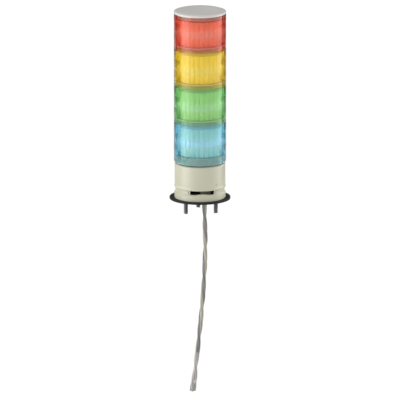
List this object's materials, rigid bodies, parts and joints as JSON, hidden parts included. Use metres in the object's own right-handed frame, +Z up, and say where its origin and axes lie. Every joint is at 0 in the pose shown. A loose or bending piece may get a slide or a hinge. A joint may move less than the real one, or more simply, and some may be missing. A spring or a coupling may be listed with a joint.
{
  "type": "stack light",
  "caption": "Signal tower with stacked coloured light tiers on an ivory body, a flanged mounting base with studs and gasket, and a grey cable from below.",
  "frame": {"origin": "centre of the gasket's underside, the mounting face, on the column's axis", "axes": "+Z up along the column; the slot in the base faces -Y, the front; +X to the right seen from the front"},
  "size_m": [0.07, 0.07, 0.452],
  "materials": {
    "black_rubber": "matt",
    "ivory_plastic": "satin",
    "zinc_steel": "zinc plated",
    "grey_sheath": "smooth",
    "core_insulation": "smooth",
    "black_plastic": "satin",
    "grey_rubber": "matt",
    "circuit_board": "satin",
    "lamp_board": "satin",
    "terminal_plastic": "satin",
    "white_plastic": "satin",
    "divider_plastic": "satin",
    "led_package": "glossy",
    "clear_lens": "clear",
    "grey_plastic": "satin",
    "blue_globe": "clear, tinted",
    "green_globe": "clear, tinted",
    "amber_globe": "clear, tinted",
    "red_globe": "clear, tinted"
  },
  "bodies": {
    "root": {"body": "ivory_plastic", "body_seal": "grey_rubber", "cable": "grey_sheath", "cable_bush": "black_rubber", "cable_fork": "black_plastic", "cap_seal": "grey_rubber", "capacitor": "black_plastic", "chips": "black_plastic", "driver_board": "circuit_board", "gasket": "black_rubber", "globe_amber": "amber_globe", "globe_blue": "blue_globe", "globe_green": "green_globe", "globe_red": "red_globe", "inner_lens_amber": "clear_lens", "inner_lens_blue": "clear_lens", "inner_lens_green": "clear_lens", "inner_lens_red": "clear_lens", "lamp_board": "lamp_board", "lamp_socket": "white_plastic", "leds_amber": "led_package", "leds_blue": "led_package", "leds_green": "led_package", "leds_red": "led_package", "light_barrier_amber": "divider_plastic", "light_barrier_green": "divider_plastic", "light_barrier_red": "divider_plastic", "mounting_base": "ivory_plastic", "mounting_studs": "zinc_steel", "sounder": "black_plastic", "supply_cores": "core_insulation", "terminal_block": "terminal_plastic", "tie_screws": "zinc_steel", "top_cap": "grey_plastic"}
  },
  "joints": []
}
